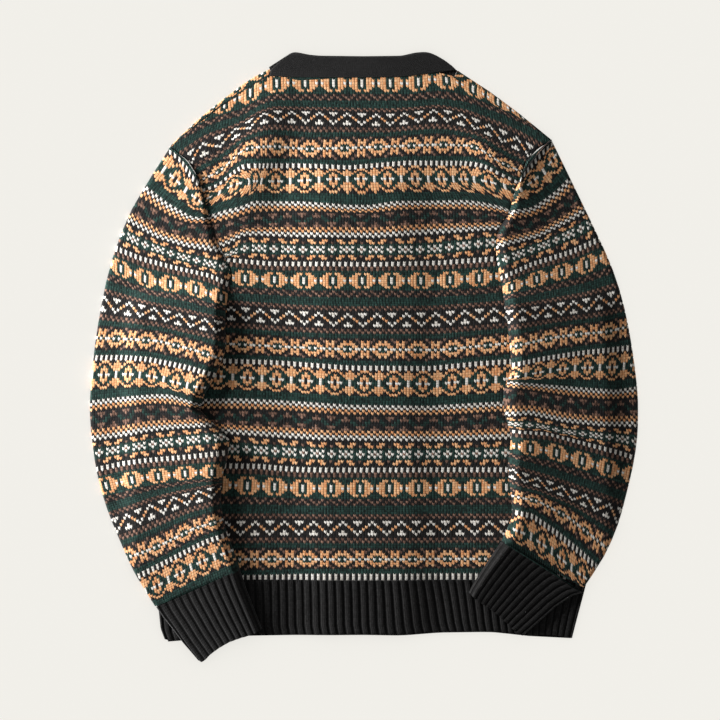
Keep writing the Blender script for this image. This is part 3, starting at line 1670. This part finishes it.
@dataclass
class Ribs:
    """Ribbing, or a plain band where its grooves are shallow, flat or as a tube."""

    name: str
    patch: Patch
    count: int  # ribs from one edge to the other
    floor: Callable[[np.ndarray], np.ndarray]
    thick: float
    tube: bool = False
    groove: float = 1.5 * MM
    groove_share: float = 0.62  # of the wave from groove to rib, over which the groove rises
    groove_start: float = 0.06  # share of the length over which grooves begin at the seam
    steps: int = 8  # points to a rib
    rows: int = 26
    edge: float = 2.5 * MM  # from an edge to where it has its full thickness
    crown: float = 0.0  # how high a tube stands up along its inner fold
    crown_fall: float = 0.4  # share of the crown that is lost at the free edge
    fold_last: bool = False  # whether the inner fold is at the last rib
    rib_stitches: float = 4.0
    first_row: int = -1  # the chart's row at the seam, or -1 for charcoal alone
    lip_close: float = 0.6  # how far a tube's lip is drawn towards the other side
    lip_reach: float = 0.35  # rows that the lip turns in
    lining: float = 3.0  # rows that the inside is seen for
    lip_stitches: float = 0.7  # stitches over the lip

    def _surface(self, turns: np.ndarray, up: bool) -> np.ndarray:
        """One face of the ribbing.

        Args:
            turns: How many ribs from the left edge each column is.
            up: Whether it is the upper face.

        Returns:
            Places in metres, rows by columns.
        """
        down, across = np.meshgrid(np.linspace(0, 1, self.rows), turns / self.count, indexing="ij")
        points = self.patch.spread(across, down)
        width = np.linalg.norm(points[:, :1] - points[:, -1:], axis=-1)
        length = np.linalg.norm(points[:1] - points[-1:], axis=-1)
        away = np.minimum(across, 1 - across) * width
        if not self.tube:
            away = np.minimum(away, (1 - down) * length)
        swell = np.sqrt(1 - (1 - np.clip(away / self.edge, 0, 1)) ** 2)
        lift = self.thick / 2 * swell
        if self.tube or up:
            wave = 0.5 + 0.5 * np.cos(2 * np.pi * turns)
            sunk = (1 - smoothstep(wave, 0.0, self.groove_share))[None, :] * self.groove
            lift = lift - sunk * smoothstep(down, 0.0, self.groove_start) * swell
        if up and self.tube:
            inner = 1 - across if self.fold_last else across
            lift = lift + self.crown * puff_share(inner) * (1 - self.crown_fall * down)
        height = self.floor(points) + self.thick / 2 + (lift if up else -lift)
        return np.concatenate([points, height[..., None]], axis=-1)

    def _lip(self, place: np.ndarray) -> np.ndarray:
        """Turns the free edge of a tube in and lines it.

        Args:
            place: The tube's places, rows by columns.

        Returns:
            The places with two more rows.
        """
        back = place[-2, :, :2] - place[-1, :, :2]
        lip = place[-1].copy()
        lip[:, 2] += self.lip_close * (0.5 * (lip[:, 2] + lip[::-1, 2]) - lip[:, 2])
        lip[:, :2] += self.lip_reach * back
        inside = lip.copy()
        inside[:, :2] += self.lining * back
        return np.concatenate([place, lip[None], inside[None]])

    def build(self) -> bpy.types.Object:
        """Makes the ribbing from its two faces.

        Returns:
            The ribbing's object.
        """
        half = np.arange(self.count * self.steps + 1) / self.steps
        faces = [self._surface(half, True), self._surface(half[::-1], False)[:, 1:]]
        place = np.concatenate(faces, axis=1)
        turns = np.concatenate([half, 2 * self.count - half[-2::-1]])
        down = -np.arange(self.rows) * 1.0
        if self.tube:
            place = self._lip(place)
            down = np.concatenate([down, down[-1] - np.array([self.lip_stitches, self.lining])])
        yarns = np.zeros((place.shape[0] - 1, place.shape[1] - 1))
        if self.first_row >= 0:
            cells = np.floor(turns[:-1] + 0.5).astype(int)
            yarns = FAIR_ISLE.yarns(self.first_row + np.arange(len(yarns)), cells)
        cloth = ClothMesh(self.name)
        stitches = pair_up(turns[None, :] * self.rib_stitches + 0.5, down[:, None])
        cloth.add_grid(place, stitches, yarns)
        cloth.weld()
        if not self.tube:
            cloth.close()
        return cloth.finish()


@dataclass
class Button:
    """A turned button with a rim and four holes, sewn on with two crossed threads.

    It lies face down, with its dished face to the table.
    """

    name: str
    centre: Vector  # of the solid that it stands for
    radius: float
    thick: float
    rim: float = 1.6 * MM
    dish: float = 0.6 * MM  # depth of the face inside its rim
    back_edge: float = 0.5 * MM  # what is turned off the corners
    face_edge: float = 0.6 * MM
    rim_edge: float = 0.4 * MM
    dish_step: float = 0.6  # share of the dish's depth that its wall goes straight down
    dish_slope: float = 0.8 * MM
    hole: float = 0.9 * MM  # radius
    hole_sides: int = 16
    holes: int = 4
    spread: float = 1.7 * MM  # from the middle to a hole
    segments: int = 40
    sharp: float = 35.0  # degrees above which an edge isn't shaded smooth
    thread_size: tuple[float, float] = (0.45 * MM, 0.35 * MM)  # half its width and height
    thread_end: float = 0.5 * MM  # how far it goes on beyond the middle of a hole
    thread_sunk: float = 0.1 * MM

    def _disc(self) -> bmesh.types.BMesh:
        """Spins the button from half of its section, without its holes.

        Returns:
            The button round the origin.
        """
        half = self.thick / 2
        inner = self.radius - self.rim
        section = (
            (0.0, half),
            (self.radius - self.back_edge, half),
            (self.radius, half - self.back_edge),
            (self.radius, -half + self.face_edge),
            (self.radius - self.back_edge, -half),
            (inner + self.rim_edge, -half),
            (inner, -half + self.dish * self.dish_step),
            (inner - self.dish_slope, -half + self.dish),
            (0.0, -half + self.dish),
        )
        bm = bmesh.new()
        verts = [bm.verts.new((x, 0.0, z)) for x, z in section]
        edges = [bm.edges.new(pair) for pair in zip(verts, verts[1:])]
        bmesh.ops.spin(
            bm,
            geom=verts + edges,
            cent=(0, 0, 0),
            axis=(0, 0, 1),
            angle=2 * math.pi,
            steps=self.segments,
            use_merge=True,
        )
        bmesh.ops.remove_doubles(bm, verts=bm.verts, dist=1e-6)
        bmesh.ops.recalc_face_normals(bm, faces=bm.faces)
        return bm

    def _pins(self) -> bpy.types.Object:
        """Makes the pins that cut the holes.

        Returns:
            The pins' object.
        """
        bm = bmesh.new()
        for turn in range(self.holes):
            angle = 2 * math.pi * (turn + 0.5) / self.holes
            made = bmesh.ops.create_cone(
                bm,
                cap_ends=True,
                segments=self.hole_sides,
                radius1=self.hole,
                radius2=self.hole,
                depth=self.thick * 3,
            )
            place = Vector((math.cos(angle), math.sin(angle), 0)) * self.spread
            bmesh.ops.translate(bm, verts=made["verts"], vec=place + self.centre)
        return add_object(bm, "pins")

    def build(self) -> bpy.types.Object:
        """Makes the button and cuts its holes.

        Returns:
            The button's object.
        """
        bm = self._disc()
        bmesh.ops.translate(bm, verts=bm.verts, vec=self.centre)
        made = add_object(bm, self.name)
        pins = self._pins()
        cut = made.modifiers.new("holes", "BOOLEAN")
        cut.operation, cut.object, cut.solver = "DIFFERENCE", pins, "EXACT"
        bpy.context.view_layer.update()
        graph = bpy.context.evaluated_depsgraph_get()
        holed = bpy.data.meshes.new_from_object(made.evaluated_get(graph))
        made.modifiers.clear()
        made.data = holed
        holed.name = self.name
        holed.shade_smooth()
        holed.set_sharp_from_angle(angle=math.radians(self.sharp))
        bpy.data.objects.remove(pins)
        return made

    def thread(self) -> bpy.types.Object:
        """Makes the two threads that cross from hole to hole.

        Returns:
            The threads' object.
        """
        bm = bmesh.new()
        height = -self.thick / 2 + self.dish - self.thread_sunk
        size = (self.spread + self.thread_end, *self.thread_size)
        for turn in (1, -1):
            made = bmesh.ops.create_uvsphere(bm, u_segments=12, v_segments=8, radius=1.0)
            verts = made["verts"]
            bmesh.ops.scale(bm, verts=verts, vec=size)
            spin = Vector((1, 0, 0)).rotation_difference(Vector((1, turn, 0))).to_matrix()
            bmesh.ops.rotate(bm, verts=verts, cent=(0, 0, 0), matrix=spin)
            bmesh.ops.translate(bm, verts=verts, vec=self.centre + Vector((0, 0, height)))
        made = add_object(bm, self.name + "_thread")
        made.data.shade_smooth()
        return made


# ---------------------------------------------------------------------------- the studio


@dataclass
class Studio:
    """Warm white paper under the garment, two lights and the camera above."""

    camera_height: float = 2.0
    sensor: float = 36.0  # millimetres
    paper_size: float = 3.0  # from its middle to an edge
    paper_drop: float = 0.3 * MM  # below the garment's underside, so that the two don't touch
    box_power: float = 64.0  # watts
    box_size: float = 0.5
    box_from: tuple[float, float, float] = (-1.32, 0.52, 0.37)
    wash: float = 2.4  # watts to the square metre
    wash_from: tuple[float, float, float] = (0.0, 0.0, 2.0)
    world: float = 0.22

    def floor(self) -> bpy.types.Object:
        """Lays the paper.

        Returns:
            The paper's object.
        """
        bm = bmesh.new()
        bmesh.ops.create_grid(bm, x_segments=1, y_segments=1, size=self.paper_size)
        bmesh.ops.translate(bm, verts=bm.verts, vec=(0.0, 0.0, -self.paper_drop))
        made = add_object(bm, "paper")
        made.data.materials.append(PaperFloor().material())
        return made

    def _hang(
        self, name: str, kind: str, place: Sequence[float], strength: float
    ) -> bpy.types.Object:
        """Hangs a light that points at the middle of the garment.

        Args:
            name: Its name.
            kind: Its type.
            place: Where it hangs, in metres.
            strength: Its strength, in the type's own unit.

        Returns:
            The light's object.
        """
        data = bpy.data.lights.new(name, kind)
        data.energy = strength
        made = bpy.data.objects.new(name, data)
        made.location = place
        made.rotation_euler = (-Vector(place)).to_track_quat("-Z", "Y").to_euler()
        bpy.context.scene.collection.objects.link(made)
        return made

    def lights(self, floor: bpy.types.Object) -> None:
        """Hangs a low soft box on the garment's left, which rakes over the knitting, and a light
        from above that is on the paper alone, so that the paper stays one plain tone.

        Args:
            floor: The paper.
        """
        box = self._hang("soft box", "AREA", self.box_from, self.box_power)
        box.data.shape, box.data.size = "SQUARE", self.box_size
        wash = self._hang("paper light", "SUN", self.wash_from, self.wash)
        for light, state in ((box, "EXCLUDE"), (wash, "INCLUDE")):
            group = bpy.data.collections.new(f"{light.name} on paper")
            group.objects.link(floor)
            group.collection_objects[0].light_linking.link_state = state
            light.light_linking.receiver_collection = group

    def camera(self) -> None:
        """Puts the camera straight above the picture's middle."""
        middle = PICTURE_WIDTH / 2
        x, y = photo_to_frame(np.array([middle, middle]))
        data = bpy.data.cameras.new("camera")
        data.sensor_width = self.sensor
        data.lens = self.sensor * self.camera_height / (PICTURE_WIDTH * PIXEL)
        made = bpy.data.objects.new("camera", data)
        made.location = (x, y, self.camera_height)
        bpy.context.scene.collection.objects.link(made)
        bpy.context.scene.camera = made

    def build(self) -> None:
        """Sets up the whole studio."""
        self.lights(self.floor())
        world = bpy.data.worlds.new("studio")
        world.use_nodes = True
        background = world.node_tree.nodes["Background"]
        background.inputs["Color"].default_value = linear("FFFFFF")
        background.inputs["Strength"].default_value = self.world
        bpy.context.scene.world = world
        bpy.context.scene.view_settings.view_transform = "Standard"
        self.camera()


# ---------------------------------------------------------------------------- assembly


NECK_LINE = ((-0.113, 0.3325), (-0.093, 0.3304), (-0.054, 0.3299), (0.042, 0.3300), (0.078, 0.3332),
             (0.112, 0.3380))
SHOULDER_STRIP = Patch(
    seam=((171.5, 148.5), (186, 134.5), (205, 119.5), (222, 107), (238, 96.5), (255, 86),
          (270, 77.2)),
    free=((170, 147), (186, 131.5), (203, 116), (223, 100), (244, 84), (257, 76), (270, 69.5)),
    left=((171.5, 148.5), (170, 147)),
    right=((270, 77.2), (271, 73), (270, 69.5)),
)
LEFT_CUFF = Patch(
    seam=((157, 606), (199, 587), (240.3, 567.4)),
    free=((198, 658), (202, 661), (206, 658.5), (211, 653), (220, 646.3), (230, 640.5),
          (241, 636.3), (253, 632.8), (262.5, 627.5)),
    left=((157, 606), (163, 615), (173, 627.5), (184, 642), (198, 658)),
    right=((240.3, 567.4), (246, 585), (254, 606), (262.5, 627.5)),
)
RIGHT_CUFF = Patch(
    seam=((500.5, 540.5), (515, 548), (545, 567.5), (560, 578.5), (575, 588.5), (583, 591.5)),
    free=((468.5, 591.5), (475, 598), (485, 604.5), (495, 612), (505, 621), (514, 630),
          (522, 634.5)),
    left=((500.5, 540.5), (490, 556), (480, 571), (471, 586), (468.5, 591.5)),
    right=((583, 591.5), (573, 594), (556, 605), (538, 621), (522, 634.5)),
)
BACK_HEM = Patch(
    seam=((155.2, 579.2), (364, 579.2), (586.8, 579.2)),
    free=((165, 638.5), (168.3, 642), (174, 640.2), (184, 639.8), (205, 638.8), (246, 635.2),
          (300, 634.3), (364.8, 633.7), (400, 634.4), (440, 632), (490, 631.4), (508, 632.8),
          (521, 635.2), (527, 634.3), (553, 634.2), (560, 635.2), (565, 637.8), (569, 639),
          (571.6, 637.5)),
    left=((155.2, 579.2), (157.5, 596), (159, 609), (161, 628), (165, 638.5)),
    right=((586.8, 579.2), (583, 594), (579, 609), (574.5, 626), (571.6, 637.5)),
    lean=((0, 0), (0.27, 0.272), (0.5, 0.515), (0.65, 0.69), (0.8, 0.835), (1, 1)),
)
NECK = Patch(
    seam=((269.5, 76.5), (284, 77.7), (318, 78.2), (365, 78.2), (400, 77.6), (420, 75.3),
          (440, 72.4), (456, 70.5)),
    free=((287, 56.5), (292, 52.8), (297, 52.7), (309, 55.3), (320, 56.3), (364, 56.8), (402, 56.3),
          (414, 53.3), (424, 52.4), (430, 53.2), (435, 55.5)),
    left=((269.5, 76.5), (271, 70.5), (277, 65), (284, 60), (287, 56.5)),
    right=((456, 70.5), (452, 66.5), (444, 60.5), (435, 55.5)),
)


@dataclass(frozen=True)
class Cut:
    """The size that a piece was knitted to, in metres, all round where it is a tube."""

    width: float
    length: float
    rests_on: tuple[str, ...] = ()


@dataclass(frozen=True)
class Finishes:
    """What the pieces are made of, each made once."""

    stranded: Finish
    ribbed: Finish
    plain: Finish
    band: Finish
    resin: Finish


@dataclass
class Body:
    """The back, the two fronts under it and the front's strip on the left shoulder."""

    nodes: dict[str, bpy.types.Object]
    finishes: Finishes
    back_columns: tuple[int, int] = (-76, 78)
    back_rows: tuple[int, int] = (0, 218)
    left_columns: tuple[int, int] = (-78, 2)
    right_columns: tuple[int, int] = (-2, 80)
    front_rows: tuple[int, int] = (0, 230)
    shoulder_gap: float = 0.4 * MM  # from a front's stitches to the top of its solid
    strip_stitches: int = 43
    strip_rows: int = 6
    strip_first_row: int = 121

    def back(self) -> None:
        """Builds the back."""
        made = Panel(
            "knit_back",
            KnitField(BODY_TRACES, *self.back_columns),
            Outline(node_segments(self.nodes["back"])),
            self.back_rows,
            LAYERS.back,
            BACK_CREASES,
            ceiling=NECK_LINE,
        ).build()
        hand_in(made, self.finishes.stranded, "back")

    def front(self, side: Side) -> None:
        """Builds one of the fronts, which lie with their right side down.

        Args:
            side: Which.
        """
        left = side is Side.LEFT
        name = f"front_{side.value}"
        top = corners_of(self.nodes[name])[1].y - self.shoulder_gap
        made = Panel(
            f"knit_{name}",
            KnitField(FRONT_TRACES, *(self.left_columns if left else self.right_columns)),
            Outline(node_segments(self.nodes[name])),
            self.front_rows,
            LAYERS.left_front if left else LAYERS.right_front,
            FRONT_CREASES,
            right_side_up=False,
            ceiling=((-0.5, top), (0.5, top)),
        ).build()
        hand_in(made, self.finishes.stranded, name)

    def shoulder_strip(self) -> None:
        """Builds what shows of the left front where it comes over the shoulder."""
        made = Ribs(
            "knit_front_left_shoulder",
            SHOULDER_STRIP,
            self.strip_stitches,
            lambda points: np.full(points.shape[:-1], WALL + GAP),
            WALL,
            groove=0.0,
            steps=2,
            rows=self.strip_rows,
            rib_stitches=1.0,
            first_row=self.strip_first_row,
        ).build()
        hand_in(made, self.finishes.stranded)

    def build(self) -> None:
        """Builds every panel of the body."""
        self.back()
        for side in Side:
            self.front(side)
        self.shoulder_strip()


@dataclass
class Sleeves:
    """The two sleeves, folded in over the body."""

    nodes: dict[str, bpy.types.Object]
    finishes: Finishes
    edge: BodyEdge
    armpit: float = 0.138  # its height on the picture
    allowance: float = 0.9 * MM  # how far a sleeve laps over the body at the armhole

    def sleeve(self, lie: SleeveLie) -> None:
        """Builds one sleeve.

        Args:
            lie: How it lies.
        """
        name = f"sleeve_{lie.side.value}"
        node = self.nodes[name]
        outline = Outline(node_segments(node))
        sewn = np.where(outline.heights > self.armpit, self.allowance, 0.0)
        if lie.side is Side.LEFT:
            outline.right_edge += sewn
        else:
            outline.left_edge -= sewn
        lid = corners_of(node)[1].y
        made = Tube(f"knit_{name}", lie, outline, lid, self.edge.sleeve_floor).build()
        hand_in(made, self.finishes.stranded, name)

    def build(self) -> None:
        """Builds both sleeves."""
        for lie in SLEEVES:
            self.sleeve(lie)


@dataclass
class Ribbing:
    """The cuffs, the back hem and the neck band."""

    finishes: Finishes
    edge: BodyEdge
    cuff_ribs: int = 12
    left_crown: float = 9.5 * MM
    right_crown: float = 11 * MM
    hem_ribs: int = 54
    neck_stitches: int = 90
    neck_rows: int = 14
    neck_groove: float = 0.12 * MM
    neck_raise: float = 1.0 * MM  # how far the neck band stands over the plain wall

    def cuff(self, side: Side) -> None:
        """Builds one cuff.

        Args:
            side: Which.
        """
        left = side is Side.LEFT
        made = Ribs(
            f"ribbed_cuff_{side.value}",
            LEFT_CUFF if left else RIGHT_CUFF,
            self.cuff_ribs,
            self.edge.cuff_floor,
            2 * WALL + GAP,
            tube=True,
            crown=self.left_crown if left else self.right_crown,
            fold_last=left,
        ).build()
        hand_in(made, self.finishes.ribbed, f"cuff_{side.value}")

    def hem(self) -> None:
        """Builds the back hem."""
        thick = WALL + LAYERS.rib_raise
        made = Ribs("ribbed_hem_back", BACK_HEM, self.hem_ribs, over_fronts, thick).build()
        hand_in(made, self.finishes.ribbed, "hem_rib_back")

    def neck_band(self) -> None:
        """Builds the band across the back neck."""
        made = Ribs(
            "plain_neck_band",
            NECK,
            self.neck_stitches,
            over_fronts,
            WALL + self.neck_raise,
            groove=self.neck_groove,
            steps=4,
            rows=self.neck_rows,
        ).build()
        hand_in(made, self.finishes.plain, "neck_band")

    def build(self) -> None:
        """Builds all the ribbing."""
        for side in Side:
            self.cuff(side)
        self.hem()
        self.neck_band()


@dataclass
class Cardigan:
    """The whole garment, piece by piece."""

    nodes: dict[str, bpy.types.Object]
    finishes: Finishes
    edge_low: float = -0.4  # heights on the picture between which a sleeve meets the body's edge
    edge_top: float = 0.045
    edge_step: int = 6  # heights of the outline from one point of that edge to the next
    buttons: int = 5

    def button(self, number: int) -> None:
        """Builds a button and the threads that hold it.

        Args:
            number: Which, from 1.
        """
        low, high = corners_of(self.nodes[f"button_{number}"])
        size = high - low
        button = Button(f"turned_button_{number}", (low + high) / 2, size.x / 2, size.z)
        hand_in(button.build(), self.finishes.resin, f"button_{number}")
        hand_in(button.thread(), self.finishes.band)

    def build(self) -> None:
        """Builds every piece."""
        outline = Outline(node_segments(self.nodes["back"], self.nodes["hem_rib_back"]))
        ring = outline.polygon(self.edge_low, self.edge_top, self.edge_step)
        edge = BodyEdge(ring)
        Body(self.nodes, self.finishes).build()
        Sleeves(self.nodes, self.finishes, edge).build()
        Ribbing(self.finishes, edge).build()
        for number in range(1, self.buttons + 1):
            self.button(number)


def main() -> None:
    """Builds the garment and the studio."""
    logging.basicConfig(level=logging.INFO, format="%(name)s: %(message)s")
    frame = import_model()
    ribbed = KnittedWool(name="worsted lambswool, ribbed", rib=4.0)
    plain_knit = KnittedWool(name="worsted lambswool, close plain knit")
    band = KnittedWool(name="worsted lambswool, band", on_solid=True)
    finishes = Finishes(
        stranded=Finish(KnittedWool().material(), "fair_isle_wool"),
        ribbed=Finish(ribbed.material(), "charcoal_wool"),
        plain=Finish(plain_knit.material(), "charcoal_wool"),
        band=Finish(band.material(), "charcoal_wool"),
        resin=Finish(Resin().material(), "button_resin"),
    )
    for node in frame["nodes"].values():
        node.data.materials.clear()
        node.data.materials.append(finishes.band.material)
    Cardigan(frame["nodes"], finishes).build()
    Studio().build()


if __name__ == "__main__":
    main()
